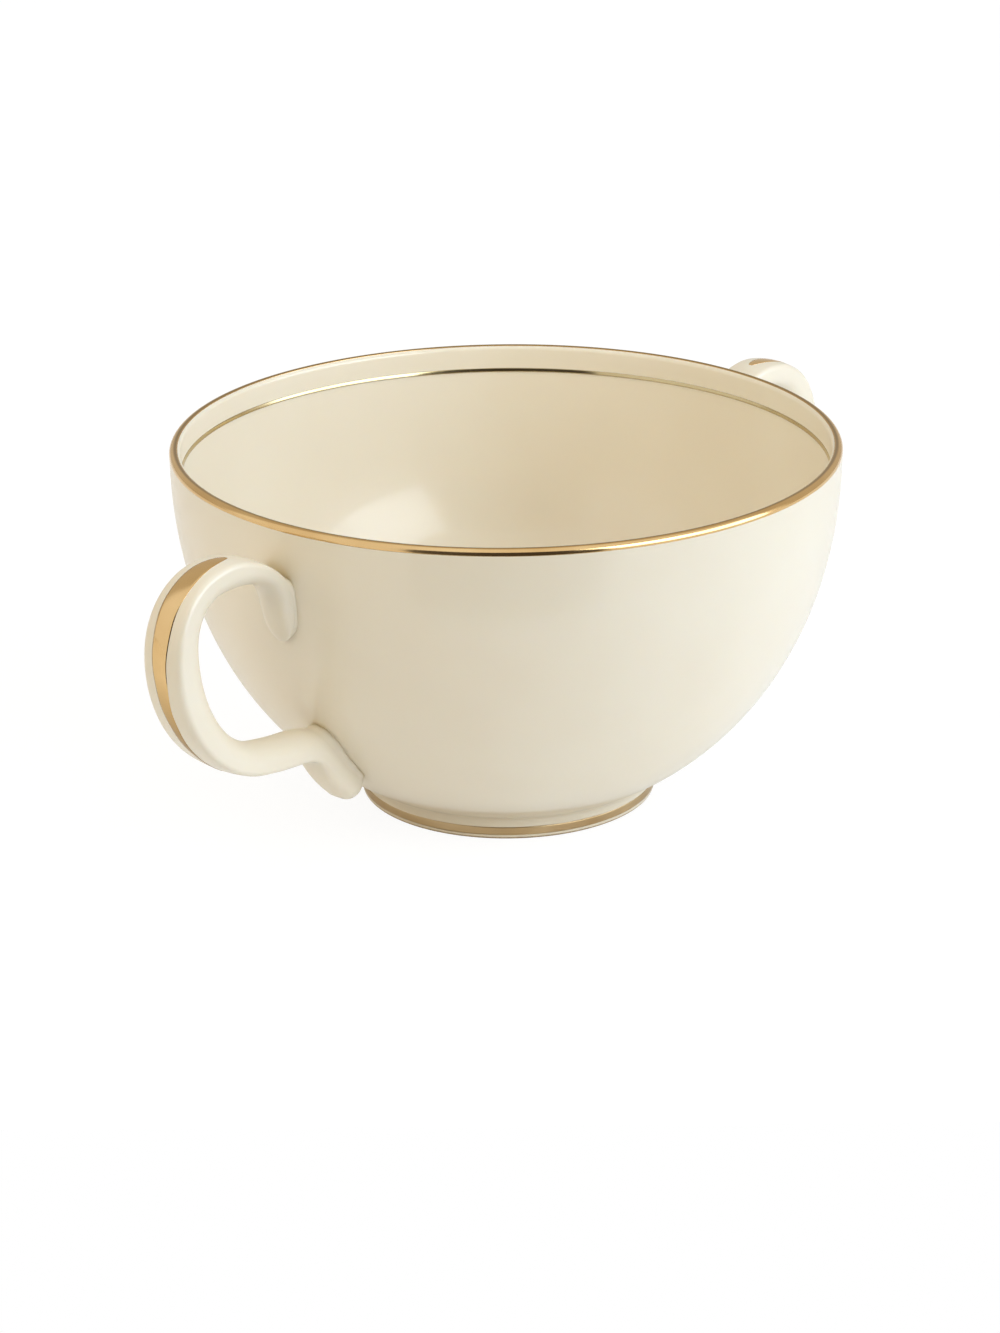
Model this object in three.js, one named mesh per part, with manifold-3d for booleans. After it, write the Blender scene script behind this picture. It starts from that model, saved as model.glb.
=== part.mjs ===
// Two-handled bouillon cup in glazed ivory porcelain with gilded edges.
// Millimetres, +Z up. The origin is on the table, at the centre of the foot, and the handles lie along X.
import * as THREE from 'three';
import { mergeVertices } from 'three/addons/utils/BufferGeometryUtils.js';
import Module from 'manifold-3d';

// Bowl
const rimRadius = 52.4; // outside of the porcelain at the lip
const rimHeight = 57.9; // top of the porcelain above the table
const lipThickness = 1.7;
const floorThickness = 2.8;
const outerFullness = 2.12; // exponent of the outside curve: 2 is an ellipse, more is squarer
const innerFullness = 2.6;

// Foot ring
const footHeight = 4.4; // table to the seat under the bowl
const footRadius = 23.4;
const footWall = 3;
const footFlare = 1.8; // how far the top of the foot spreads to meet the bowl
const footDraft = 0.8; // inward lean of the foot's inner wall
const footEdge = 0.5; // rounding of the standing edge

// Gilding
const gold = 0.1; // thickness of the gold
const rimBandDrop = 0.15; // outside, below the start of the lip's rounding
const lipGilding = 120; // degrees that the gold reaches over the lip's half-round, from the outside
const innerLineDrop = 4.1; // below the top of the lip
const innerLineWidth = 0.6;
const footBandBase = 0.75; // table to the band round the foot
const footBandWidth = 1.3;
const stripeWidth = 3.4; // at its widest
const stripeSeat = 0.03; // clearance between a stripe and its handle
const stripeStart = 0.22; // shares of the handle's length, from the tail's tip
const stripeEnd = 0.65;
const stripeTip = 0.12; // width at the stripe's ends, as a share of its width
const stripeLean = 0.5; // less brings the widest part nearer the stripe's upper end
const stripeSwell = 1.2; // less gives the stripe blunter ends

// Handles
const handleReach = 21.2; // from the lip to the middle of the handle at its widest
const handleTopDrop = 4.9; // lip to the middle of the arch
const armHeight = 22.2; // table to the middle of the lower arm
const archRise = 9.9; // widest point of the handle up to its arch
const archHalfWidth = 9.2;
const scrollHeight = 8.4; // upper scroll, from the arch down to where its tail starts
const archSquareness = 2.2; // of the arch and scroll: 2 is an ellipse, more is squarer
const sweepSquareness = 1.95; // of the long sweep down to the lower arm
const sweepShare = 0.7; // of the arch's half width, spanned by the sweep beyond the scroll
const tailLength = 5.5; // upper scroll's tail, lying down the wall
const tailStandoff = 0.9; // middle of the tail's end off the wall
const armStandoff = 3.4; // middle of the lower arm off the wall where it turns down
const lobeLength = 11.4; // lower lobe, from the arm down the wall
const lobeStandoff = 2.3;
const lobeBend = 1.4; // from the middle of the arm down to where the lobe's bend ends
const lobeShoulder = 0.6; // share of the lobe's length down to its fullest point
const strapWidth = 7.8; // at the handle's widest point
const strapDepth = 6.6; // outer face to rounded inner face, at the same place
const slipGap = 0.3; // joint between a handle and the wall, filled with slip

const turns = 56; // facets round the cup
const handleSteps = 34; // sections along a handle

const porcelain = new THREE.MeshStandardMaterial({ color: 0xe9e1cf, roughness: 0.18, metalness: 0 });
const gilding = new THREE.MeshStandardMaterial({ color: 0xc9a05c, roughness: 0.25, metalness: 1 });

const lipRadius = lipThickness / 2;
const springing = rimHeight - lipRadius; // height where the wall ends and the lip's rounding starts
const innerRimRadius = rimRadius - lipThickness;
const seatRadius = footRadius + footFlare; // outside of the joint between foot and bowl
const floorHeight = footHeight + floorThickness;

// Radius at a given depth below the springing, on a curve that ends at `bottom` on the axis.
const fullCurve = (radius, bottom, fullness, depth) =>
  radius * (1 - (depth / bottom) ** fullness) ** (1 / fullness);

// The outside curve would meet the axis at this depth if the foot did not cut it off at its seat.
const outerBottom =
  (springing - footHeight) / (1 - (seatRadius / rimRadius) ** outerFullness) ** (1 / outerFullness);
const wallRadius = (height) => fullCurve(rimRadius, outerBottom, outerFullness, springing - height);

const point = (radius, height) => new THREE.Vector2(radius, height);

// Points along such a curve between two depths, close together where it bends most.
function wall(radius, bottom, fullness, from, to, steps) {
  const turn = (depth) => Math.asin((depth / bottom) ** (fullness / 2));
  return Array.from({ length: steps + 1 }, (_, i) => {
    const depth = bottom * Math.sin(THREE.MathUtils.lerp(turn(from), turn(to), i / steps)) ** (2 / fullness);
    return point(fullCurve(radius, bottom, fullness, Math.min(depth, bottom)), springing - depth);
  });
}

// Points on an arc about (radius, height), angles in degrees from the outward direction.
function arc(radius, height, size, from, to, steps) {
  return Array.from({ length: steps + 1 }, (_, i) => {
    const angle = THREE.MathUtils.degToRad(THREE.MathUtils.lerp(from, to, i / steps));
    return point(radius + size * Math.cos(angle), height + size * Math.sin(angle));
  });
}

function revolve(profile) {
  return new THREE.LatheGeometry(profile, turns).rotateX(Math.PI / 2);
}

function mesh(name, geometry, material) {
  const result = new THREE.Mesh(geometry, material);
  result.name = name;
  return result;
}

const outerWall = (from, to, steps) => wall(rimRadius, outerBottom, outerFullness, from, to, steps);
const innerWall = (from, to, steps) =>
  wall(innerRimRadius, springing - floorHeight, innerFullness, from, to, steps);

// Part of the lip's half-round, in degrees from the outside, with `extra` added to its radius.
const lip = (extra, from, to, steps) =>
  arc(rimRadius - lipRadius, springing, lipRadius + extra, from, to, steps);
const gildedLip = (extra) => lip(extra, 0, lipGilding, 4);

const innerLineTop = innerLineDrop - lipRadius - innerLineWidth / 2; // depths below the springing
const innerLineFoot = innerLineTop + innerLineWidth;
const footInnerTop = footRadius - footWall - footDraft;

// The bowl is one jiggered shell: seat, outside, lip, inside and floor.
function bowl() {
  return revolve([
    point(0, footHeight),
    point(footInnerTop, footHeight),
    ...outerWall(springing - footHeight, rimBandDrop, 12),
    ...gildedLip(0),
    ...lip(0, lipGilding, 180, 2).slice(1),
    ...innerWall(innerLineTop, innerLineFoot, 1),
    ...innerWall(innerLineFoot, springing - floorHeight, 11).slice(1),
  ]);
}

// The foot ring stands on a narrow flat land. Above its gold band it spreads to meet the bowl, in an
// arc that starts upright.
function footRing() {
  const inside = footRadius - footWall;
  const bandTop = footBandBase + footBandWidth;
  const rise = footHeight - bandTop;
  const spreadRadius = (footFlare ** 2 + rise ** 2) / (2 * footFlare);
  const turn = THREE.MathUtils.radToDeg(Math.asin(rise / spreadRadius));
  return revolve([
    point(footInnerTop, footHeight),
    ...arc(inside + footEdge, footEdge, footEdge, 180, 270, 3),
    ...arc(footRadius - footEdge, footEdge, footEdge, 270, 360, 3),
    ...arc(footRadius + spreadRadius, bandTop, spreadRadius, 180, 180 - turn, 5),
    point(footInnerTop, footHeight),
  ]);
}

// Gold over most of the lip and a little way down the outside.
function rimGoldBand() {
  const [edge] = outerWall(rimBandDrop, 0, 1);
  return revolve([
    edge,
    point(edge.x + gold, edge.y),
    ...gildedLip(gold),
    ...gildedLip(0).reverse(),
    edge,
  ]);
}

// A fine gold line round the inside, below the lip.
function innerGoldLine() {
  const [top, foot] = innerWall(innerLineTop, innerLineFoot, 1);
  return revolve([top, point(top.x - gold, top.y), point(foot.x - gold, foot.y), foot, top]);
}

// Gold round the foot, just above its standing edge.
function footGoldBand() {
  const top = footBandBase + footBandWidth;
  return revolve([
    point(footRadius, footBandBase),
    point(footRadius + gold, footBandBase),
    point(footRadius + gold, top),
    point(footRadius, top),
    point(footRadius, footBandBase),
  ]);
}

// The middle line of a handle: tail on the wall, scroll, arch, long outer curve, arm, lobe.
// It lies in one upright plane; x is the distance from the cup's axis and z the height.
function handleLine() {
  const archHeight = rimHeight - handleTopDrop;
  const widest = rimRadius + handleReach;
  const archRadius = widest - archHalfWidth; // radius at which the arch is highest
  const widestHeight = archHeight - archRise;
  const tailTop = archHeight - scrollHeight;
  const sweepDrop = widestHeight - armHeight;
  const offWall = (height, standoff) => new THREE.Vector3(wallRadius(height) + standoff, 0, height);
  const scrollRadius = archRadius - offWall(tailTop, tailStandoff).x;
  const sweepReach = scrollRadius + archHalfWidth * sweepShare;
  // Quarter of a slightly squared ellipse: angles in degrees from the outward direction.
  const bend = (x, z, halfWidth, halfHeight, from, to, steps, squareness) =>
    Array.from({ length: steps + 1 }, (_, i) => {
      const angle = THREE.MathUtils.degToRad(THREE.MathUtils.lerp(from, to, i / steps));
      const ease = (value) => Math.sign(value) * Math.abs(value) ** (2 / squareness);
      const [across, up] = [ease(Math.cos(angle)), ease(Math.sin(angle))];
      return new THREE.Vector3(x + halfWidth * across, 0, z + halfHeight * up);
    });
  return new THREE.CatmullRomCurve3(
    [
      offWall(tailTop - tailLength, tailStandoff),
      ...bend(archRadius, tailTop, scrollRadius, scrollHeight, 180, 110, 3, archSquareness),
      ...bend(archRadius, widestHeight, archHalfWidth, archRise, 90, 0, 4, archSquareness),
      ...bend(widest - sweepReach, widestHeight, sweepReach, sweepDrop, -18, -90, 4, sweepSquareness),
      offWall(armHeight - lobeBend, armStandoff),
      offWall(armHeight - lobeLength * lobeShoulder, (armStandoff + lobeStandoff) / 2),
      offWall(armHeight - lobeLength, lobeStandoff),
    ],
    false,
    'centripetal',
  );
}

// Eased value at `share` of a handle's length, from a list of [share, value].
function along(stops, share) {
  const next = Math.max(1, stops.findIndex(([at]) => at >= share));
  const [from, start] = stops[next - 1];
  const [to, end] = stops[next];
  return THREE.MathUtils.lerp(start, end, THREE.MathUtils.smoothstep(share, from, to));
}

// Shares of the strap's width and depth along the handle, from the tail's tip to the lobe's end.
const widthAlong = [[0, 0.72], [0.1, 0.8], [0.22, 0.86], [0.42, 1], [0.55, 1], [0.75, 0.83], [1, 0.81]];
const depthAlong = [[0, 0.33], [0.12, 0.47], [0.25, 0.75], [0.45, 1], [0.7, 0.74], [0.85, 0.72], [1, 0.8]];
const endRounding = 0.045; // share of the length over which each end closes
const endBluntness = 0.1; // share of the section left at the very ends

const faceCrown = 0.05; // crown of the outer face, as a share of the width
const faceCorner = 0.17; // rounding between the face and the sides, as a share of the lesser size
const innerRound = 0.58; // share of the depth that the rounded inner face takes

// Half of the cross-section from the middle of its crowned outer face, round a soft corner and down
// a straight side, to the middle of its rounded inner face, as [sideways, outward].
function halfSection(width, depth, goldEdge) {
  const half = width / 2;
  const top = depth / 2;
  const crown = width * faceCrown;
  const corner = Math.min(width, depth) * faceCorner;
  const round = depth * innerRound;
  const onArc = (x, y, across, up) => (degrees) => {
    const angle = THREE.MathUtils.degToRad(degrees);
    return [x + across * Math.cos(angle), y + up * Math.sin(angle)];
  };
  return [
    [0, top],
    [goldEdge, top - crown * (goldEdge / half) ** 2],
    ...[80, 45, 10].map(onArc(half - corner, top - crown - corner, corner, corner)),
    ...[0, -25, -48, -69].map(onArc(0, round - top, half, round)),
    [0, -top],
  ];
}

// Everything needed to place points on one cross-section of a handle.
function station(line, step) {
  const share = step / handleSteps;
  const middle = line.getPointAt(share);
  const heading = line.getTangentAt(share);
  const outward = new THREE.Vector3(-heading.z, 0, heading.x);
  const fromEnd = Math.min(share, 1 - share) / endRounding;
  const closing = THREE.MathUtils.lerp(endBluntness, 1, Math.sqrt(1 - Math.max(0, 1 - fromEnd) ** 2));
  const alongStripe = THREE.MathUtils.clamp((share - stripeStart) / (stripeEnd - stripeStart), 0, 1);
  const swell = Math.sin(Math.PI * alongStripe ** stripeLean) ** stripeSwell;
  return {
    width: strapWidth * along(widthAlong, share) * closing,
    depth: strapDepth * along(depthAlong, share) * closing,
    goldEdge: (stripeWidth / 2) * THREE.MathUtils.lerp(stripeTip, 1, swell) * closing,
    gilded: share >= stripeStart && share <= stripeEnd,
    place: ([sideways, out], lift = 0) =>
      middle.clone().addScaledVector(outward, out + lift).add(new THREE.Vector3(0, sideways, 0)),
  };
}

// Skins a list of closed rings of points and caps both ends.
function loft(rings) {
  const count = rings[0].length;
  const positions = rings.flat().flatMap((p) => [p.x, p.y, p.z]);
  const index = [];
  for (let ring = 0; ring < rings.length - 1; ring++) {
    for (let i = 0; i < count; i++) {
      const a = ring * count + i;
      const b = ring * count + ((i + 1) % count);
      index.push(a, a + count, b, b, a + count, b + count);
    }
  }
  const last = (rings.length - 1) * count;
  for (let i = 1; i < count - 1; i++) {
    index.push(0, i, i + 1, last, last + i + 1, last + i);
  }
  const geometry = new THREE.BufferGeometry();
  geometry.setAttribute('position', new THREE.Float32BufferAttribute(positions, 3));
  geometry.setIndex(index);
  return geometry;
}

const wasm = await Module();
wasm.setup();

function toSolid(geometry) {
  const plain = geometry.clone();
  plain.deleteAttribute('normal');
  plain.deleteAttribute('uv');
  const merged = mergeVertices(plain);
  const vertProperties = new Float32Array(merged.attributes.position.array);
  const triVerts = new Uint32Array(merged.index.array);
  return new wasm.Manifold(new wasm.Mesh({ numProp: 3, vertProperties, triVerts }));
}

function toGeometry(solid) {
  const { vertProperties, triVerts } = solid.getMesh();
  const geometry = new THREE.BufferGeometry();
  geometry.setAttribute('position', new THREE.Float32BufferAttribute(vertProperties, 3));
  geometry.setIndex(new THREE.Uint32BufferAttribute(triVerts, 1));
  return geometry;
}

// The outside of the bowl, filled, with room for the slip joint: what a handle is fitted to.
function fittingForm() {
  const spread = ({ x, y }) => point(x + slipGap, y);
  const side = outerWall(springing - footHeight, 0, 16).map(spread);
  return revolve([point(0, 0), point(seatRadius + slipGap, 0), ...side, point(0, springing)]);
}

// A cast C-scroll strap, its two ends fitted to the curve of the wall.
function handle(line) {
  const rings = Array.from({ length: handleSteps + 1 }, (_, step) => {
    const { width, depth, goldEdge, place } = station(line, step);
    const half = halfSection(width, depth, goldEdge);
    const mirrored = half.slice(1, -1).reverse().map(([sideways, out]) => [-sideways, out]);
    return [...half, ...mirrored].map((offset) => place(offset));
  });
  return toGeometry(toSolid(loft(rings)).subtract(toSolid(fittingForm())));
}

// The gold stripe down the middle of a handle's outer face, tapered at both ends.
function handleStripe(line) {
  const face = stripeSeat + gold;
  const rings = [];
  for (let step = 0; step <= handleSteps; step++) {
    const { width, depth, goldEdge, gilded, place } = station(line, step);
    if (gilded) {
      const [middle, edge] = halfSection(width, depth, goldEdge);
      const other = [-edge[0], edge[1]];
      rings.push([
        place(middle, stripeSeat), place(other, stripeSeat), place(other, face),
        place(middle, face), place(edge, face), place(edge, stripeSeat),
      ]);
    }
  }
  return loft(rings);
}

function buildCup() {
  const cup = new THREE.Group();
  cup.add(
    mesh('bowl', bowl(), porcelain),
    mesh('foot_ring', footRing(), porcelain),
    mesh('rim_gold_band', rimGoldBand(), gilding),
    mesh('inner_gold_line', innerGoldLine(), gilding),
    mesh('foot_gold_band', footGoldBand(), gilding),
  );
  const line = handleLine();
  for (const [side, angle] of [['right', 0], ['left', Math.PI]]) {
    const pair = new THREE.Group();
    pair.rotation.z = angle;
    pair.add(
      mesh(`handle_${side}`, handle(line), porcelain),
      mesh(`handle_${side}_gold_stripe`, handleStripe(line), gilding),
    );
    cup.add(pair);
  }
  return cup;
}

export default buildCup();
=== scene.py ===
# A two-handled bouillon cup in ivory porcelain, glazed, with burnished gold lines.
import math

import bpy
import numpy as np
from mathutils import Matrix, Vector


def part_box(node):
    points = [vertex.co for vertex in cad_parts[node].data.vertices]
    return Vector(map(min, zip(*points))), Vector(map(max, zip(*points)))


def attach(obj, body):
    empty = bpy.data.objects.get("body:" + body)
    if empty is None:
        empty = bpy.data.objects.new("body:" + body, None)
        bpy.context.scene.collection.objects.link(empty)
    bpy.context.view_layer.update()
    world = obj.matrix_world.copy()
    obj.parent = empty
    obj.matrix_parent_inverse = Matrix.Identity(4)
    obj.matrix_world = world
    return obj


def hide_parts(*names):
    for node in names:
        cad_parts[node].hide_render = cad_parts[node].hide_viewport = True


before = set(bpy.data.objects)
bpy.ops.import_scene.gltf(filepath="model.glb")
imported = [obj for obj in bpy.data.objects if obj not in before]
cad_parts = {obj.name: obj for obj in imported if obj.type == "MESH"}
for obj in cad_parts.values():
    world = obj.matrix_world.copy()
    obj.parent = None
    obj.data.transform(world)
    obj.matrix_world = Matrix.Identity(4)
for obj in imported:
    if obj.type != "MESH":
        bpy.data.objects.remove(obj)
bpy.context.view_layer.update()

MM = 0.001


# Bowl
# A porcelain shell, thin at the lip and thicker towards the foot, dipped in clear glaze. It was
# spun in a plaster mould that gave it its outside, and its inside was pressed by a template.
gold_thickness = 0.1 * MM
rim_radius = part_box("rim_gold_band")[1][0] - gold_thickness
rim_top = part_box("rim_gold_band")[1][2] - gold_thickness
seat_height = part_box("foot_ring")[1][2]
seat_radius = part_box("foot_ring")[1][0]
lip_radius = 0.85 * MM
floor_height = seat_height + 2.8 * MM
outer_fullness = 2.12
inner_fullness = 2.6
underside_ring = 0.72  # share of the seat's radius
around = 288
on_axis = 1e-7
springing = rim_top - lip_radius
outer_bottom = (springing - seat_height) / (
    1 - (seat_radius / rim_radius) ** outer_fullness
) ** (1 / outer_fullness)
inner_radius = rim_radius - 2 * lip_radius
inner_bottom = springing - floor_height


def wall_radius(height, radius=rim_radius, bottom=outer_bottom, fullness=outer_fullness):
    """Radius of the bowl's curve at a height; the defaults give the outside."""
    depth = np.clip((springing - height) / bottom, 0, 1)
    return radius * (1 - depth**fullness) ** (1 / fullness)


def wall_points(start, end, count, radius=rim_radius, bottom=outer_bottom, fullness=outer_fullness):
    """Points (radius, height) on a bowl curve between two depths, close together where it bends most."""
    turns = [math.asin(min(1, depth / bottom) ** (fullness / 2)) for depth in (start, end)]
    depths = bottom * np.sin(np.linspace(*turns, count)) ** (2 / fullness)
    return list(zip(wall_radius(springing - depths, radius, bottom, fullness), springing - depths))


def inner_points(start, end, count):
    return wall_points(start, end, count, inner_radius, inner_bottom, inner_fullness)


def arc_points(radius, height, size, start, end, count):
    """Points on an arc, angles in degrees from the outward direction."""
    angles = np.radians(np.linspace(start, end, count))
    return list(zip(radius + size * np.cos(angles), height + size * np.sin(angles)))


def lip_points(end=180, count=21):
    """The lip's half-round, from the outside towards the inside."""
    return arc_points(rim_radius - lip_radius, springing, lip_radius, 0, end, count)


def add_mesh(name, vertices, faces, material):
    mesh = bpy.data.meshes.new(name)
    mesh.from_pydata([tuple(v) for v in vertices], [], faces)
    mesh.polygons.foreach_set("use_smooth", [True] * len(mesh.polygons))
    mesh.materials.append(material)
    mesh.update()
    piece = bpy.data.objects.new(name, mesh)
    bpy.context.collection.objects.link(piece)
    return piece


def revolve(name, profile, material, turns=around, closed=False):
    """Turns a profile of (radius, height) about the cup's axis. A profile that isn't closed starts and
    ends on the axis."""
    angles = np.linspace(0, 2 * math.pi, turns, endpoint=False)
    vertices, faces, ring_starts = [], [], []
    for radius, height in profile:
        ring_starts.append(len(vertices))
        ring = [0] if radius < on_axis else angles
        vertices += [(radius * math.cos(a), radius * math.sin(a), height) for a in ring]
    pairs = list(zip(range(len(profile)), range(1, len(profile))))
    if closed:
        pairs.append((len(profile) - 1, 0))
    for low, high in pairs:
        a, b = ring_starts[low], ring_starts[high]
        for i in range(turns):
            j = (i + 1) % turns
            if profile[low][0] < on_axis:
                faces.append((a, b + j, b + i))
            elif profile[high][0] < on_axis:
                faces.append((a + i, a + j, b))
            else:
                faces.append((a + i, a + j, b + j, b + i))
    return add_mesh(name, vertices, faces, material)


def new_material(name):
    material = bpy.data.materials.new(name)
    material.use_nodes = True
    nodes, links = material.node_tree.nodes, material.node_tree.links
    return material, nodes, links, nodes["Principled BSDF"]


def noise(nodes, links, scale, detail=3.0, roughness=0.5, stretch=None):
    """A noise texture in the cup's own coordinates; scale is in waves per metre."""
    place = nodes.new("ShaderNodeTexCoord")
    texture = nodes.new("ShaderNodeTexNoise")
    texture.inputs["Scale"].default_value = scale
    texture.inputs["Detail"].default_value = detail
    texture.inputs["Roughness"].default_value = roughness
    source = place.outputs["Object"]
    if stretch:
        mapping = nodes.new("ShaderNodeMapping")
        mapping.inputs["Scale"].default_value = stretch
        links.new(source, mapping.inputs["Vector"])
        source = mapping.outputs["Vector"]
    links.new(source, texture.inputs["Vector"])
    return texture.outputs["Fac"]


def ramp(nodes, links, value, stops):
    """Maps a value to colours; stops are (position, colour)."""
    node = nodes.new("ShaderNodeValToRGB")
    elements = node.color_ramp.elements
    while len(elements) < len(stops):
        elements.new(0.5)
    for element, (position, colour) in zip(elements, stops):
        element.position = position
        element.color = (*colour, 1)
    links.new(value, node.inputs["Fac"])
    return node.outputs["Color"]


def tint(nodes, links, share, colour, tone):
    """Turns a varying colour towards one tone by a share from 0 to 1."""
    node = nodes.new("ShaderNodeMix")
    node.data_type = "RGBA"
    links.new(share, node.inputs["Factor"])
    links.new(colour, node.inputs[6])
    node.inputs[7].default_value = (*tone, 1)
    return node.outputs[2]


def bump(nodes, links, height, distance, strength=1.0, after=None):
    node = nodes.new("ShaderNodeBump")
    node.inputs["Strength"].default_value = strength
    node.inputs["Distance"].default_value = distance
    links.new(height, node.inputs["Height"])
    if after:
        links.new(after, node.inputs["Normal"])
    return node.outputs["Normal"]


def below(nodes, links, low, high, share=1.0, easing="LINEAR"):
    """A share below one height, falling off to nothing at another."""
    place = nodes.new("ShaderNodeTexCoord")
    parts = nodes.new("ShaderNodeSeparateXYZ")
    links.new(place.outputs["Object"], parts.inputs[0])
    falling = nodes.new("ShaderNodeMapRange")
    falling.interpolation_type = easing
    falling.inputs["From Min"].default_value = low
    falling.inputs["From Max"].default_value = high
    falling.inputs["To Min"].default_value = share
    falling.inputs["To Max"].default_value = 0
    links.new(parts.outputs["Z"], falling.inputs["Value"])
    return falling.outputs["Result"]


def srgb(red, green, blue):
    return tuple(((c / 255 + 0.055) / 1.055) ** 2.4 for c in (red, green, blue))


ivory_light = srgb(237, 229, 211)
ivory_deep = srgb(233, 223, 203)
# Painted shade in the inner corners, with the deeper glaze there: its tone, and how far the occlusion mask
# reaches.
ivory_pooled_shade = srgb(214, 198, 160)
pool_shade_reach = 3.0 * MM
# Painted shade towards the foot: its tone, the height below which it is full, the height where it fades
# out, and its strength.
ivory_foot_shade = srgb(204, 186, 152)
foot_shade_low, foot_shade_high = 2.5 * MM, 11.0 * MM
foot_shade_share = 0.42


def make_glaze():
    """Ivory body under a clear glossy glaze. Its colour carries painted shade: darker and warmer in
    the inner corners, where the glaze also lies deeper, and darker towards the foot."""
    material, nodes, links, shader = new_material("ivory_glaze")
    cloudy = noise(nodes, links, scale=34, detail=2)
    body = ramp(nodes, links, cloudy, [(0.3, ivory_deep), (0.7, ivory_light)])
    # An ambient occlusion mask paints shade into the corners, in the deeper glaze's tone.
    corner = nodes.new("ShaderNodeAmbientOcclusion")
    corner.samples = 12
    corner.inputs["Distance"].default_value = pool_shade_reach
    pooled_shade = ramp(nodes, links, corner.outputs["AO"], [(0.15, (1, 1, 1)), (0.55, (0, 0, 0))])
    body = tint(nodes, links, pooled_shade, body, ivory_pooled_shade)
    # Painted shade: darker towards the foot.
    foot_shade = below(nodes, links, foot_shade_low, foot_shade_high, foot_shade_share, "SMOOTHSTEP")
    body = tint(nodes, links, foot_shade, body, ivory_foot_shade)
    links.new(body, shader.inputs["Base Color"])
    shader.inputs["Roughness"].default_value = 0.34
    shader.inputs["Subsurface Weight"].default_value = 0.12
    shader.inputs["Subsurface Radius"].default_value = (1.0, 0.7, 0.4)
    shader.inputs["Subsurface Scale"].default_value = 0.8 * MM
    shader.inputs["Coat Weight"].default_value = 0.48
    shader.inputs["Coat Roughness"].default_value = 0.06
    shader.inputs["Coat IOR"].default_value = 1.5
    waves = noise(nodes, links, scale=110, detail=1)
    wavy = bump(nodes, links, waves, distance=0.05 * MM, strength=0.5)
    grain = noise(nodes, links, scale=1800, detail=2)
    fine = bump(nodes, links, grain, distance=0.004 * MM, strength=0.4, after=wavy)
    links.new(fine, shader.inputs["Coat Normal"])
    return material


ivory_glaze = make_glaze()
crisp = 0.02 * MM  # a first step this short keeps the shading clean beside an edge
bowl_profile = (
    [(0, seat_height), (seat_radius * underside_ring, seat_height), (seat_radius - crisp, seat_height)]
    + wall_points(springing - seat_height, springing - seat_height - crisp, 2)
    + wall_points(springing - seat_height - crisp, 0, 80)[1:]
    + lip_points()[1:]
    + inner_points(0, inner_bottom, 80)[1:]
)
bowl = revolve("cup_bowl", bowl_profile, ivory_glaze)
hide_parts("bowl")
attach(bowl, "root")


# Foot ring
# A low ring of the same clay under the bowl, swept out at its top where slip and glaze fill the joint.
# Its standing edge was wiped clean of glaze before firing, so it is matt, stained, and darkened with
# painted contact shadow.
foot_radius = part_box("foot_gold_band")[1][0] - gold_thickness
foot_band_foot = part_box("foot_gold_band")[0][2]
foot_band_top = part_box("foot_gold_band")[1][2]
foot_wall = 3 * MM
foot_draft = 0.8 * MM
foot_edge = 0.5 * MM
foot_tuck = 0.6 * MM
root_width = 1.5 * MM
root_inset = 0.6 * MM
root_rise = 0.2 * MM
inside_drop = 0.5 * MM
wiped_height = 0.45 * MM


def make_biscuit():
    """Unglazed standing edge: fine grained, matt, stained with use and darkened with painted contact
    shadow.
    """
    material, nodes, links, shader = new_material("bare_foot_edge")
    grain = noise(nodes, links, scale=2600, detail=4)
    # Brown of stain from use, and painted contact shadow along the bottom edge.
    colour = ramp(nodes, links, grain, [(0.35, srgb(158, 134, 100)), (0.65, srgb(186, 164, 130))])
    links.new(colour, shader.inputs["Base Color"])
    shader.inputs["Roughness"].default_value = 0.75
    links.new(bump(nodes, links, grain, distance=0.03 * MM), shader.inputs["Normal"])
    return material


def sweep_points(count=24):
    """An arc that leaves the foot upright above its gold band and meets the bowl's curve smoothly."""
    curve = np.array(wall_points(springing - seat_height, outer_bottom * 0.97, 400))
    steepness = np.arctan2(-np.gradient(curve[:, 0]), -np.gradient(curve[:, 1]))
    radii = (curve[:, 1] - foot_band_top) / np.sin(steepness)
    misses = np.abs(foot_radius + radii * (1 - np.cos(steepness)) - curve[:, 0])
    touch = int(np.argmin(misses))
    turn, size = math.degrees(steepness[touch]), float(radii[touch])
    return arc_points(foot_radius + size, foot_band_top, size, 180, 180 - turn, count)


def tucked(points, depth):
    """The same points drawn in towards the axis."""
    return [(radius - depth, height) for radius, height in points]


foot_inside = foot_radius - foot_wall
foot_inner_top = foot_inside - foot_draft
foot_profile = (
    [(foot_inner_top - root_inset, seat_height + root_rise), (foot_inner_top, seat_height - inside_drop)]
    + arc_points(foot_inside + foot_edge, foot_edge, foot_edge, 180, 270, 8)
    + arc_points(foot_radius - foot_edge, foot_edge, foot_edge, 270, 360, 8)
    + sweep_points()
    + tucked(wall_points(springing - seat_height, springing - seat_height - foot_tuck, 5), crisp)
    + [(seat_radius - root_width, seat_height + foot_tuck)]
)
foot = revolve("cup_foot", foot_profile, ivory_glaze, closed=True)
foot.data.materials.append(make_biscuit())
for polygon in foot.data.polygons:
    if max(foot.data.vertices[i].co.z for i in polygon.vertices) < wiped_height:
        polygon.material_index = 1
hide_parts("foot_ring")
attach(foot, "root")


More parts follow.
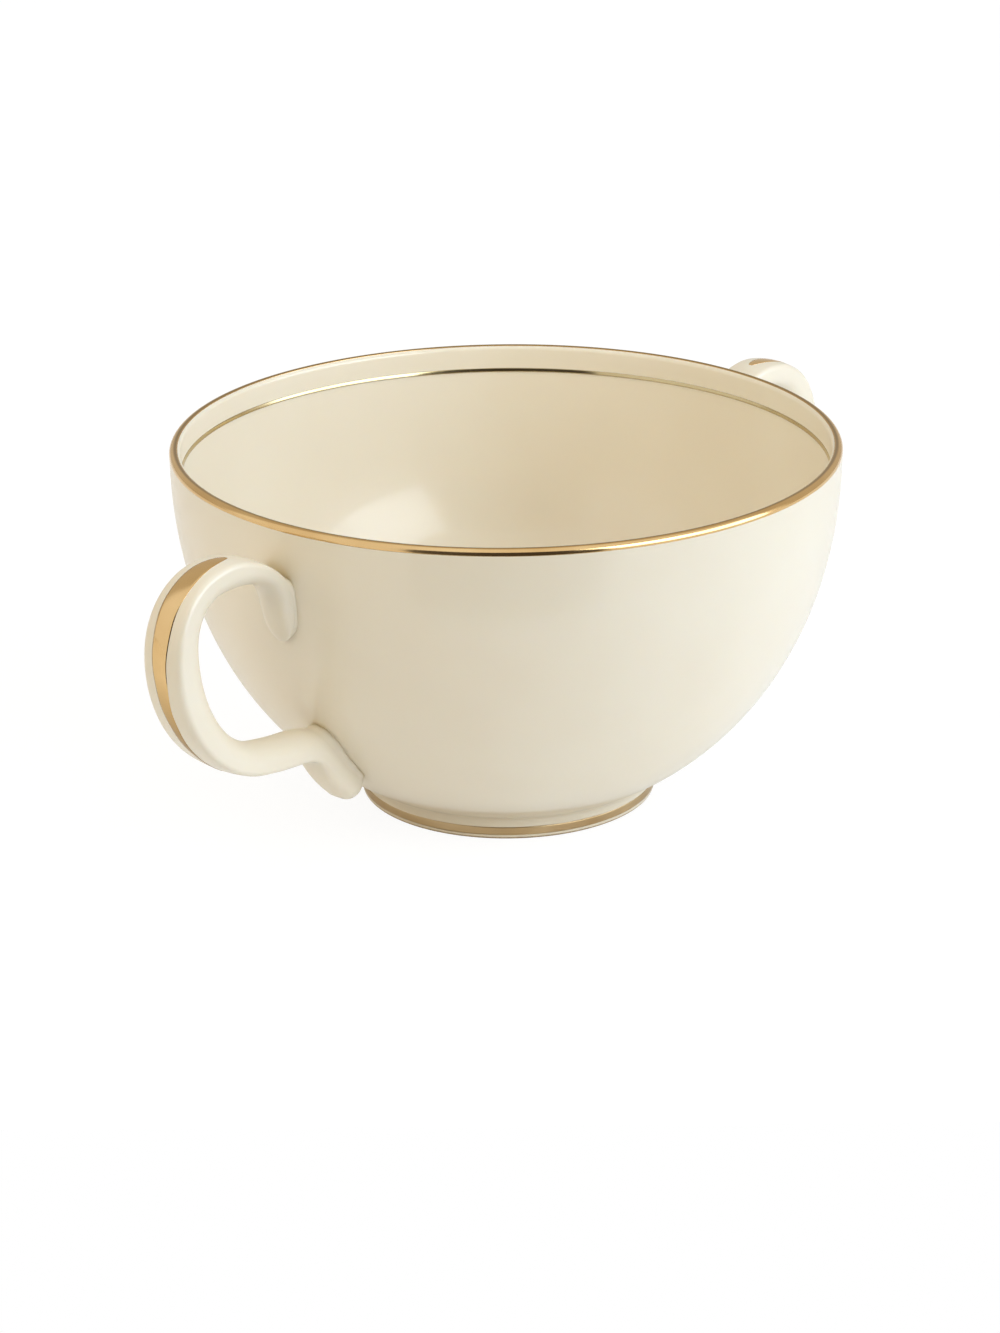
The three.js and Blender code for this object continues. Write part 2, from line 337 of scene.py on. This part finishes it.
# Handles
# Two C-scroll straps cast in moulds: a crowned outer face between soft corners and a rounded inside,
# with a scroll above and a lobe below. Both ends lie down the wall, stuck on with slip that fills
# the corners.
handle_reach = 21.2 * MM
handle_top_drop = 4.9 * MM
arm_height = 22.2 * MM
arch_rise = 9.9 * MM
arch_half_width = 9.2 * MM
scroll_height = 8.4 * MM
arch_squareness = 2.2
sweep_squareness = 1.95
sweep_share = 0.7
tail_length = 5.5 * MM
tail_standoff = 0.9 * MM
arm_standoff = 3.4 * MM
lobe_length = 11.4 * MM
lobe_standoff = 2.3 * MM
lobe_bend = 1.4 * MM
lobe_shoulder = 0.6
strap_width = 7.8 * MM
strap_depth = 6.6 * MM
face_crown = 0.05
face_corner = 0.17
inner_round = 0.58
slip_along = [
    (0, 0.4), (0.07, 0.8), (0.16, 1.5), (0.3, 1.2), (0.7, 1.2), (0.84, 2.0), (0.92, 1.5), (1, 0.4)
]
width_along = [(0, 0.72), (0.1, 0.8), (0.22, 0.86), (0.42, 1), (0.55, 1), (0.75, 0.83), (1, 0.81)]
depth_along = [
    (0, 0.33), (0.12, 0.47), (0.25, 0.75), (0.45, 1), (0.7, 0.74), (0.85, 0.72), (0.97, 0.9), (1, 0.92)
]
corner_along = [(0, 1), (0.84, 1), (0.96, 2.4), (1, 2.4)]
tail_rounding = 0.045
lobe_rounding = 0.034
slip_depth = 0.3 * MM
slip_smoothing = 6
probe = 0.1 * MM
closed_share = 0.02
handle_stations = 340
end_stations = 22


def bend(x, z, half_width, half_height, start, end, count, squareness):
    """Points on a slightly squared ellipse, angles in degrees from the outward direction."""
    angles = np.radians(np.linspace(start, end, count))
    across, along = (
        np.sign(part) * np.abs(part) ** (2 / squareness) for part in (np.cos(angles), np.sin(angles))
    )
    return list(zip(x + half_width * across, z + half_height * along))


def off_wall(height, standoff):
    """A point at a height, a little way out from the wall."""
    return (float(wall_radius(height)) + standoff, height)


def handle_control_points():
    """The middle line as (distance from the axis, height): tail, scroll, arch, outer curve, arm, lobe."""
    arch_height = rim_top - handle_top_drop
    widest = rim_radius + handle_reach
    arch_radius = widest - arch_half_width
    widest_height = arch_height - arch_rise
    tail_top = arch_height - scroll_height
    scroll_radius = arch_radius - off_wall(tail_top, tail_standoff)[0]
    sweep_reach = scroll_radius + arch_half_width * sweep_share
    sweep_middle = widest - sweep_reach
    sweep_drop = widest_height - arm_height
    return (
        [off_wall(tail_top - tail_length, tail_standoff)]
        + bend(arch_radius, tail_top, scroll_radius, scroll_height, 180, 110, 4, arch_squareness)
        + bend(arch_radius, widest_height, arch_half_width, arch_rise, 90, 0, 5, arch_squareness)
        + bend(sweep_middle, widest_height, sweep_reach, sweep_drop, -18, -90, 5, sweep_squareness)
        + [
            off_wall(arm_height - lobe_bend, arm_standoff),
            off_wall(arm_height - lobe_length * lobe_shoulder, (arm_standoff + lobe_standoff) / 2),
            off_wall(arm_height - lobe_length, lobe_standoff),
        ]
    )


def smooth_line(points, shares, span_steps=60, line_steps=600, softening=18):
    """Points at shares of the length, and their headings, on a centripetal Catmull-Rom curve whose
    last unevenness is softened."""
    p = np.array(points)
    p = np.vstack([2 * p[0] - p[1], p, 2 * p[-1] - p[-2]])
    line = []
    for i in range(1, len(p) - 2):
        p0, p1, p2, p3 = p[i - 1 : i + 3]
        t0 = 0.0
        t1 = t0 + np.linalg.norm(p1 - p0) ** 0.5
        t2 = t1 + np.linalg.norm(p2 - p1) ** 0.5
        t3 = t2 + np.linalg.norm(p3 - p2) ** 0.5
        t = np.linspace(t1, t2, span_steps, endpoint=i == len(p) - 3)[:, None]
        a1 = (t1 - t) / (t1 - t0) * p0 + (t - t0) / (t1 - t0) * p1
        a2 = (t2 - t) / (t2 - t1) * p1 + (t - t1) / (t2 - t1) * p2
        a3 = (t3 - t) / (t3 - t2) * p2 + (t - t2) / (t3 - t2) * p3
        b1 = (t2 - t) / (t2 - t0) * a1 + (t - t0) / (t2 - t0) * a2
        b2 = (t3 - t) / (t3 - t1) * a2 + (t - t1) / (t3 - t1) * a3
        line.append((t2 - t) / (t2 - t1) * b1 + (t - t1) / (t2 - t1) * b2)
    line = np.vstack(line)
    lengths = np.concatenate([[0], np.cumsum(np.linalg.norm(np.diff(line, axis=0), axis=1))])
    even = np.linspace(0, lengths[-1], line_steps)
    spaced = np.stack([np.interp(even, lengths, line[:, k]) for k in (0, 1)], axis=1)
    kernel = np.hanning(2 * softening + 3)[1:-1]
    kernel /= kernel.sum()
    steps = np.arange(1, softening + 1)[:, None]
    before = spaced[0] + steps[::-1] * (spaced[0] - spaced[1])
    beyond = spaced[-1] + steps * (spaced[-1] - spaced[-2])
    padded = np.vstack([before, spaced, beyond])
    soft = np.stack([np.convolve(padded[:, k], kernel, "valid") for k in (0, 1)], axis=1)
    heading = np.gradient(soft, axis=0)
    heading /= np.linalg.norm(heading, axis=1)[:, None]
    at = np.asarray(shares) * lengths[-1]
    place = np.stack([np.interp(at, even, soft[:, k]) for k in (0, 1)], axis=1)
    turned = np.stack([np.interp(at, even, heading[:, k]) for k in (0, 1)], axis=1)
    return place, turned / np.linalg.norm(turned, axis=1)[:, None]


def eased(stops, share):
    """The value at a share of the way, from stops of (share, value) with soft changes between them."""
    shares, values = zip(*stops)
    k = int(np.clip(np.searchsorted(shares, share), 1, len(stops) - 1))
    t = (share - shares[k - 1]) / (shares[k] - shares[k - 1])
    t = t * t * (3 - 2 * t)
    return values[k - 1] + (values[k] - values[k - 1]) * t


def face_height(width, depth, sideways):
    """How far the crowned outer face stands out, at a distance from its middle."""
    return depth / 2 - width * face_crown * (sideways / (width / 2)) ** 2


def section(width, depth, rounder):
    """A cross-section as (sideways, outward): crowned face, soft corners, straight sides, round inside.
    The corners grow with rounder."""
    half, top = width / 2, depth / 2
    corner = min(width, depth) * face_corner * rounder
    corner_start = 81  # degrees
    face_end = half - corner * (1 - math.cos(math.radians(corner_start)))
    across = np.linspace(0, face_end, 12)[:-1]
    face = np.stack([across, face_height(width, depth, across)], axis=1)
    middle = face_height(width, depth, face_end) - corner * math.sin(math.radians(corner_start))
    turns = np.radians(np.linspace(corner_start, 0, 9))
    edge = np.stack([half - corner + corner * np.cos(turns), middle + corner * np.sin(turns)], axis=1)
    inside = depth * inner_round
    heights = np.linspace(middle, inside - top, 7)[1:-1]
    side = np.stack([np.full(len(heights), half), heights], axis=1)
    turns = np.radians(np.linspace(0, -90, 30))
    rounded = np.stack([half * np.cos(turns), inside - top + inside * np.sin(turns)], axis=1)
    one_half = np.vstack([face, edge, side, rounded])
    return np.vstack([one_half, one_half[-2:0:-1] * (-1, 1)])


closing_turns = np.linspace(0, math.pi / 2, end_stations)
tail_shares = tail_rounding * (1 - np.cos(closing_turns))
lobe_shares = 1 - lobe_rounding * (1 - np.cos(closing_turns[::-1]))
strap_shares = np.linspace(tail_rounding, 1 - lobe_rounding, handle_stations)[1:-1]
handle_shares = np.concatenate([tail_shares, strap_shares, lobe_shares])
handle_line, handle_heading = smooth_line(handle_control_points(), handle_shares)


def station(index):
    """Middle, outward direction, width and depth of the handle at one of its stations."""
    share = handle_shares[index]
    from_end = min(1, share / tail_rounding, (1 - share) / lobe_rounding)
    closing = max(closed_share, math.sqrt(1 - (1 - from_end) ** 2))
    heading = handle_heading[index]
    outward = np.array([-heading[1], heading[0]])
    width = strap_width * eased(width_along, share) * closing
    depth = strap_depth * eased(depth_along, share) * closing
    return handle_line[index], outward, width, depth


def lay_out(index, offsets):
    """Points of one station's ring from their (sideways, outward) offsets."""
    middle, outward, _, _ = station(index)
    offsets = np.asarray(offsets)
    plane = middle + offsets[:, 1:] * outward
    return np.stack([plane[:, 0], offsets[:, 0], plane[:, 1]], axis=1)


def loft(rings):
    """Faces between closed rings of the same count, with both ends capped."""
    count = len(rings[0])
    vertices = np.vstack(rings)
    faces = []
    for ring in range(len(rings) - 1):
        for i in range(count):
            a, b = ring * count + i, ring * count + (i + 1) % count
            faces.append((a, a + count, b + count, b))
    last = (len(rings) - 1) * count
    faces.append(tuple(range(count)))
    faces.append(tuple(last + i for i in reversed(range(count))))
    return vertices, faces


def off_surface(points):
    """Distance of points from the bowl's wall, outwards."""
    radial, heights = np.hypot(points[:, 0], points[:, 1]), points[:, 2]
    slope = (wall_radius(heights + probe) - wall_radius(heights - probe)) / (2 * probe)
    return (radial - wall_radius(heights)) / np.hypot(1, slope)


def fill_corner(vertices, normals, reach, halvings=24):
    """Swells the surface out where it comes close to the wall, as slip does in the corner of a joint:
    out to the smooth union of the two, which blends them over the reach. What lies inside the wall
    moves along it, so that the slip runs out thin."""
    low, high = np.zeros(len(vertices)), reach.copy()
    for _ in range(halvings):
        out = (low + high) / 2
        off = off_surface(vertices + normals * out[:, None])
        blend = np.clip(1 - np.abs(off - out) / reach, 0, 1)
        clear = (np.minimum(off, out) > blend**2 * reach / 4) | (off < -slip_depth)
        low, high = np.where(clear, low, out), np.where(clear, out, high)
    off = off_surface(vertices)
    facing = (off_surface(vertices + normals * probe) - off) / probe
    hidden = reach * np.clip(1 - 1.5 * np.abs(facing), 0, 1)
    swell = np.where(off < 0, hidden, low).reshape(len(handle_shares), -1)
    for _ in range(slip_smoothing):
        swell = (np.roll(swell, 1, 1) + 2 * swell + np.roll(swell, -1, 1)) / 4
        swell[1:-1] = (swell[:-2] + 2 * swell[1:-1] + swell[2:]) / 4
    return vertices + normals * swell.reshape(-1, 1)


def handle_mesh():
    """One handle, on the right side of the cup."""
    rings = []
    for index, share in enumerate(handle_shares):
        _, _, width, depth = station(index)
        rings.append(lay_out(index, section(width, depth, eased(corner_along, share))))
    return loft(rings)


slip_reach = np.array([eased(slip_along, share) * MM for share in handle_shares])
for side, sign in (("left", -1), ("right", 1)):
    vertices, faces = handle_mesh()
    handle = add_mesh(f"cup_handle_{side}", vertices, faces, ivory_glaze)
    normals = np.array([v.normal for v in handle.data.vertices])
    reach = np.repeat(slip_reach, len(vertices) // len(slip_reach))
    moved = fill_corner(vertices, normals, reach) * (sign, sign, 1)
    handle.data.vertices.foreach_set("co", moved.ravel())
    handle.data.update()
    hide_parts(f"handle_{side}")
    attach(handle, "root")


# Gold lines
# Liquid gold brushed on over the fired glaze while the cup turned on a wheel, then fired again and
# burnished: one band over the lip, a fine line inside it and a band round the foot.
gold_film = 0.03 * MM
rim_band_drop = 0.15 * MM
rim_band_turn = 120  # degrees over the lip's half-round
inner_line_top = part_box("inner_gold_line")[1][2]
inner_line_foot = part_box("inner_gold_line")[0][2]
inner_line_lean = 0.17 * MM
line_rings = 9
brush_waver = 0.05 * MM
waver_waves = (3, 7, 13)  # round the cup


def dark_reflection_ring(nodes, links, inner, outer):
    """One on a ring between two distances from the cup's axis, falling off to nothing beside it."""
    place = nodes.new("ShaderNodeTexCoord")
    flat = nodes.new("ShaderNodeVectorMath")
    flat.operation = "MULTIPLY"
    flat.inputs[1].default_value = (1, 1, 0)
    links.new(place.outputs["Object"], flat.inputs[0])
    length = nodes.new("ShaderNodeVectorMath")
    length.operation = "LENGTH"
    links.new(flat.outputs["Vector"], length.inputs[0])
    across = nodes.new("ShaderNodeMapRange")
    across.inputs["From Min"].default_value = inner
    across.inputs["From Max"].default_value = outer
    links.new(length.outputs["Value"], across.inputs["Value"])
    black, white = (0, 0, 0), (1, 1, 1)
    stops = [(0, black), (0.35, white), (0.6, white), (1, black)]
    return ramp(nodes, links, across.outputs["Result"], stops)


def make_gold(name, light, deep, polish, dark_reflection=None, between=()):
    """Burnished gold: pale, a little cloudy, with the brush's faint lines round the cup. Between two
    limits it is darker, a painted dark reflection."""
    material, nodes, links, shader = new_material(name)
    cloudy = noise(nodes, links, scale=90, detail=3)
    colour = ramp(nodes, links, cloudy, [(0.3, deep), (0.7, light)])
    if dark_reflection:
        colour = tint(nodes, links, dark_reflection(nodes, links, *between), colour, gold_dark_reflection)
    links.new(colour, shader.inputs["Base Color"])
    shader.inputs["Metallic"].default_value = 1.0
    rough = ramp(nodes, links, cloudy, [(0.3, (polish,) * 3), (0.75, (polish + unevenness,) * 3)])
    links.new(rough, shader.inputs["Roughness"])
    brushed = noise(nodes, links, scale=500, detail=2, stretch=(0.3, 0.3, 2.0))
    links.new(bump(nodes, links, brushed, distance=0.006 * MM, strength=0.4), shader.inputs["Normal"])
    return material


# The last of these is the tone of painted dark reflection in the gold.
gold_light, gold_deep, gold_dark_reflection = srgb(230, 196, 142), srgb(213, 175, 118), srgb(152, 122, 72)
unevenness = 0.1  # of its roughness
# A ring of painted dark reflection over the top of the lip.
rim_dark_reflection = (rim_radius - 1.3 * MM, rim_radius - 0.5 * MM)
rim_gilding = make_gold("rim_gilding", gold_light, gold_deep, 0.09, dark_reflection_ring, rim_dark_reflection)
line_gilding = make_gold("line_gilding", srgb(200, 183, 142), srgb(190, 171, 128), 0.09)
# The foot band's gold is darker than the rim's: painted shade, for the shaded table close round the foot
# that it mirrors.
foot_gilding = make_gold("foot_gilding", srgb(198, 174, 136), srgb(176, 148, 108), 0.3)


def skin_profile(points, lift):
    """A thin closed profile over a row of (radius, height) points: a film under them and a lift above."""
    p = np.array(points)
    heading = np.gradient(p, axis=0)
    heading /= np.linalg.norm(heading, axis=1)[:, None]
    outward = np.stack([heading[:, 1], -heading[:, 0]], axis=1)
    outer = p + outward * np.asarray(lift)[:, None]
    inner = p - outward * gold_film
    return [tuple(q) for q in outer] + [tuple(q) for q in inner[::-1]]


def edge_lift(count, middle=1.3, thinning=0.9):
    """Thickness of a brushed line across its width: full in the middle, less at the edges."""
    across = np.linspace(-1, 1, count)
    return gold_film * (middle - thinning * across**4)


def gold_band(name, node, profile, edges, material):
    """Revolves a line of gold. Its edges, given by their rings, waver as the brush did."""
    band = revolve(name, profile, material, closed=True)
    turns = len(band.data.vertices) // len(profile)
    for ring in edges:
        for i in range(turns):
            angle = 2 * math.pi * i / turns
            long, short, shake = (waves * angle for waves in waver_waves)
            waver = math.sin(long + ring) + 0.6 * math.sin(short + 2 * ring)
            vertex = band.data.vertices[ring * turns + i].co
            vertex.z += brush_waver * 0.6 * waver * (1 + 0.5 * math.sin(shake))
    band.data.update()
    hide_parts(node)
    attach(band, "root")


rim_points = wall_points(rim_band_drop, 0, 4) + lip_points(rim_band_turn)[1:]
rim_profile = skin_profile(rim_points, edge_lift(len(rim_points)))
gold_band("gold_rim", "rim_gold_band", rim_profile, (0, len(rim_profile) - 1), rim_gilding)

line_points = inner_points(springing - inner_line_top, springing - inner_line_foot, line_rings)
line_lift = edge_lift(line_rings) + inner_line_lean * np.linspace(0, 1, line_rings)
gold_band("gold_inner_line", "inner_gold_line", skin_profile(line_points, line_lift), (), line_gilding)

foot_points = [(foot_radius, z) for z in np.linspace(foot_band_foot, foot_band_top, line_rings)]
foot_band = skin_profile(foot_points, edge_lift(line_rings))
foot_edges = (0, line_rings - 1, line_rings, 2 * line_rings - 1)
gold_band("gold_foot", "foot_gold_band", foot_band, foot_edges, foot_gilding)


# Gold stripes on the handles
# One stroke of the brush down the middle of each handle's outer face: full below its upper end,
# and drawn out thin towards the lower one.
stripe_width = 3.4 * MM
stripe_start = 0.22  # share of the handle's length, like its end
stripe_end = 0.65
stripe_tip = 0.05
stripe_lean = 0.5
stripe_swell = 1.2
stripe_points = 11
stripe_waves = 37
# Painted dark reflection on the stripe: darker below 41 mm, fully so below 28 mm.
stripe_dark_reflection = (28 * MM, 41 * MM)
stripe_gilding = make_gold("gilding", gold_light, gold_deep, 0.1, below, stripe_dark_reflection)


def stripe_mesh():
    """The gold on one handle, on the right side of the cup."""
    rings = []
    inside = (handle_shares >= stripe_start) & (handle_shares <= stripe_end)
    for index in np.flatnonzero(inside):
        _, _, width, depth = station(index)
        share = (handle_shares[index] - stripe_start) / (stripe_end - stripe_start)
        swell = math.sin(math.pi * share**stripe_lean) ** stripe_swell
        half = stripe_width / 2 * (stripe_tip + (1 - stripe_tip) * swell)
        waver = brush_waver * math.sin(stripe_waves * share + 1)
        across = np.linspace(-half, half, stripe_points) + waver
        out = face_height(width, depth, across)
        top = np.stack([across, out + edge_lift(stripe_points)], axis=1)
        under = np.stack([across, out - gold_film], axis=1)
        rings.append(lay_out(index, np.vstack([top[::-1], under])))
    return loft(rings)


for side, sign in (("left", -1), ("right", 1)):
    vertices, faces = stripe_mesh()
    stripe = add_mesh(f"gold_stripe_{side}", vertices * (sign, sign, 1), faces, stripe_gilding)
    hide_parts(f"handle_{side}_gold_stripe")
    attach(stripe, "root")


# Camera
# It stands in front of the left handle and looks down a little, as the photograph does.
view_azimuth = math.radians(-49)
view_elevation = math.radians(20.946)
view_distance = 660.33 * MM
view_roll = math.radians(-0.501)
aim_sideways = -1.222 * MM
aim_height = 19.89 * MM
lens, film_width = 112.0, 36.0
camera_data = bpy.data.cameras.new("camera")
camera_data.lens = lens
camera_data.sensor_width = film_width
camera = bpy.data.objects.new("camera", camera_data)
bpy.context.collection.objects.link(camera)
right = np.array([math.cos(view_azimuth), math.sin(view_azimuth), 0])
level = np.array([-math.sin(view_azimuth), math.cos(view_azimuth), 0])
up = np.array([0, 0, 1])
ahead = level * math.cos(view_elevation) - up * math.sin(view_elevation)
above = level * math.sin(view_elevation) + up * math.cos(view_elevation)
columns = np.eye(4)
columns[:3, 0] = right * math.cos(view_roll) + above * math.sin(view_roll)
columns[:3, 1] = -right * math.sin(view_roll) + above * math.cos(view_roll)
columns[:3, 2] = -ahead
columns[:3, 3] = right * aim_sideways + up * aim_height - ahead * view_distance
camera.matrix_world = Matrix([list(row) for row in columns])
bpy.context.scene.camera = camera


# Floor and light
# The cup stands on a white table in a white light tent, with soft boxes outside it: the strongest on
# the right. The tent's front is open for the camera, and its back is in shade: the gold shows both.
table_white = 0.85
table_seen = (0.9, 0.14)
table_mirrored = (0.2, 0.8)
studio_light = (1.0, 0.91, 0.75)
studio_strength = 0.5
dim_room = (0.08, 0.07, 0.06)
dim_behind = (0.64, 0.60, 0.52)
opening_side = 33  # degrees from the front, like the next two
opening_top = 38
opening_foot = -36
opening_softness = 0.02
shade_start, shade_full = -0.22, -0.34


def any_of(nodes, links, outputs):
    """One where any of the given outputs is one."""
    total = outputs[0]
    for output in outputs[1:]:
        larger = nodes.new("ShaderNodeMath")
        larger.operation = "MAXIMUM"
        links.new(total, larger.inputs[0])
        links.new(output, larger.inputs[1])
        total = larger.outputs[0]
    return total


def mix_shaders(nodes, links, share, first, second):
    mix = nodes.new("ShaderNodeMixShader")
    links.new(share, mix.inputs[0])
    links.new(first, mix.inputs[1])
    links.new(second, mix.inputs[2])
    return mix.outputs[0]


def make_table():
    """White where it is seen or reflected, with the cup's shadow left in it: faint as the camera sees
    it, and as deep as it is in reflections."""
    material, nodes, links, shader = new_material("table")
    shader.inputs["Base Color"].default_value = (table_white,) * 3 + (1,)
    shader.inputs["Roughness"].default_value = 0.9
    path = nodes.new("ShaderNodeLightPath")

    def glowing(glow, white):
        emission = nodes.new("ShaderNodeEmission")
        emission.inputs["Strength"].default_value = glow
        diffuse = nodes.new("ShaderNodeBsdfDiffuse")
        diffuse.inputs["Color"].default_value = (white,) * 3 + (1,)
        both = nodes.new("ShaderNodeAddShader")
        links.new(diffuse.outputs[0], both.inputs[0])
        links.new(emission.outputs[0], both.inputs[1])
        return both.outputs[0]

    mirrored = any_of(nodes, links, [path.outputs["Is Glossy Ray"], path.outputs["Is Transmission Ray"]])
    surface = mix_shaders(nodes, links, mirrored, shader.outputs[0], glowing(*table_mirrored))
    surface = mix_shaders(nodes, links, path.outputs["Is Camera Ray"], surface, glowing(*table_seen))
    links.new(surface, nodes["Material Output"].inputs["Surface"])
    return material


def direction(azimuth, elevation):
    """A direction from the cup, in degrees right of the camera and above the table."""
    turn, rise = math.radians(azimuth), math.radians(elevation)
    return (right * math.sin(turn) - level * math.cos(turn)) * math.cos(rise) + up * math.sin(rise)


def math_node(nodes, links, operation, first, second):
    """One step of arithmetic on outputs or plain numbers."""
    node = nodes.new("ShaderNodeMath")
    node.operation = operation
    for socket, value in zip(node.inputs, (first, second)):
        if isinstance(value, (int, float)):
            socket.default_value = value
        else:
            links.new(value, socket)
    return node.outputs[0]


def tent(nodes, links):
    """The lining, white all round but for the open front, and the same with its back in shade."""
    place = nodes.new("ShaderNodeTexCoord")

    def part_along(axis):
        dot = nodes.new("ShaderNodeVectorMath")
        dot.operation = "DOT_PRODUCT"
        dot.inputs[1].default_value = axis
        links.new(place.outputs["Generated"], dot.inputs[0])
        return dot.outputs["Value"]

    def past(value, limit):
        size = math_node(nodes, links, "ABSOLUTE", value, 0)
        return math_node(nodes, links, "SUBTRACT", size, math_node(nodes, links, "MULTIPLY", front, limit))

    front = part_along(-level)
    middle = math.tan(math.radians((opening_top + opening_foot) / 2))
    half_height = math.tan(math.radians(opening_top)) - middle
    level_part = math_node(nodes, links, "MULTIPLY", front, middle)
    height = math_node(nodes, links, "SUBTRACT", part_along(up), level_part)
    beside = past(part_along(right), math.tan(math.radians(opening_side)))
    outside = math_node(nodes, links, "MAXIMUM", beside, past(height, half_height))
    edge = nodes.new("ShaderNodeMapRange")
    edge.inputs["From Min"].default_value = -opening_softness
    edge.inputs["From Max"].default_value = opening_softness
    links.new(outside, edge.inputs["Value"])
    lining = ramp(nodes, links, edge.outputs["Result"], [(0, dim_room), (1, (1, 1, 1))])
    behind = nodes.new("ShaderNodeMapRange")
    behind.inputs["From Min"].default_value = shade_start
    behind.inputs["From Max"].default_value = shade_full
    links.new(front, behind.inputs["Value"])
    return lining, tint(nodes, links, behind.outputs["Result"], lining, dim_behind)


def tinted(nodes, links, colour, by):
    """A colour multiplied by another."""
    node = nodes.new("ShaderNodeMix")
    node.data_type = "RGBA"
    node.blend_type = "MULTIPLY"
    node.inputs["Factor"].default_value = 1
    links.new(colour, node.inputs[6])
    node.inputs[7].default_value = (*by, 1)
    return node.outputs[2]


def make_studio():
    world = bpy.data.worlds.new("studio")
    world.use_nodes = True
    nodes, links = world.node_tree.nodes, world.node_tree.links
    lining, shaded = tent(nodes, links)
    light = nodes["Background"]
    light.inputs["Strength"].default_value = studio_strength
    links.new(tinted(nodes, links, lining, studio_light), light.inputs["Color"])
    reflected = nodes.new("ShaderNodeBackground")
    links.new(shaded, reflected.inputs["Color"])
    white = nodes.new("ShaderNodeBackground")
    white.inputs["Color"].default_value = (1, 1, 1, 1)
    path = nodes.new("ShaderNodeLightPath")
    lit = mix_shaders(nodes, links, path.outputs["Is Glossy Ray"], light.outputs[0], reflected.outputs[0])
    straight = any_of(nodes, links, [path.outputs["Is Camera Ray"], path.outputs["Is Transmission Ray"]])
    surface = mix_shaders(nodes, links, straight, lit, white.outputs[0])
    links.new(surface, nodes["World Output"].inputs["Surface"])
    return world


lamp_distance = 1.2
lamp_aim = Vector((0, 0, 30 * MM))


def soft_box(name, azimuth, elevation, width, height, brightness, colour, mirrored):
    """A soft box turned to the cup; its brightness is that of its face, where 1 is white. One behind
    the tent's lining isn't mirrored: the gold shows the lining itself."""
    data = bpy.data.lights.new(name, "AREA")
    data.shape = "RECTANGLE"
    data.size, data.size_y = width, height
    data.energy = brightness * math.pi * width * height
    data.color = colour
    lamp = bpy.data.objects.new(name, data)
    bpy.context.collection.objects.link(lamp)
    lamp.location = direction(azimuth, elevation) * lamp_distance
    lamp.visible_glossy = mirrored
    aim = lamp_aim - lamp.location
    lamp.rotation_euler = aim.to_track_quat("-Z", "Y").to_euler()


table_size = 3.0
table_front = 0.12
cool, neutral, warm = (0.7, 0.82, 1.0), (0.95, 1.0, 0.9), (1.0, 0.91, 0.75)
corners = [
    right * table_size * x + level * y
    for x, y in ((-1, -table_front), (1, -table_front), (1, table_size), (-1, table_size))
]
table = add_mesh("table", corners, [(0, 1, 2, 3)], make_table())
bpy.context.scene.world = make_studio()
soft_box("screen", 64, 22, 1.4, 0.85, 3.1, cool, mirrored=True)
soft_box("key", 48, 30, 0.8, 0.45, 1.55, neutral, mirrored=True)
soft_box("fill", -52, 26, 1.4, 0.8, 1.45, warm, mirrored=False)
soft_box("front", 0, 55, 1.0, 0.6, 0.8, (1.0, 0.92, 0.76), mirrored=False)
soft_box("top", 180, 65, 1.0, 0.8, 1.2, cool, mirrored=False)

bpy.context.scene.view_settings.view_transform = "Standard"
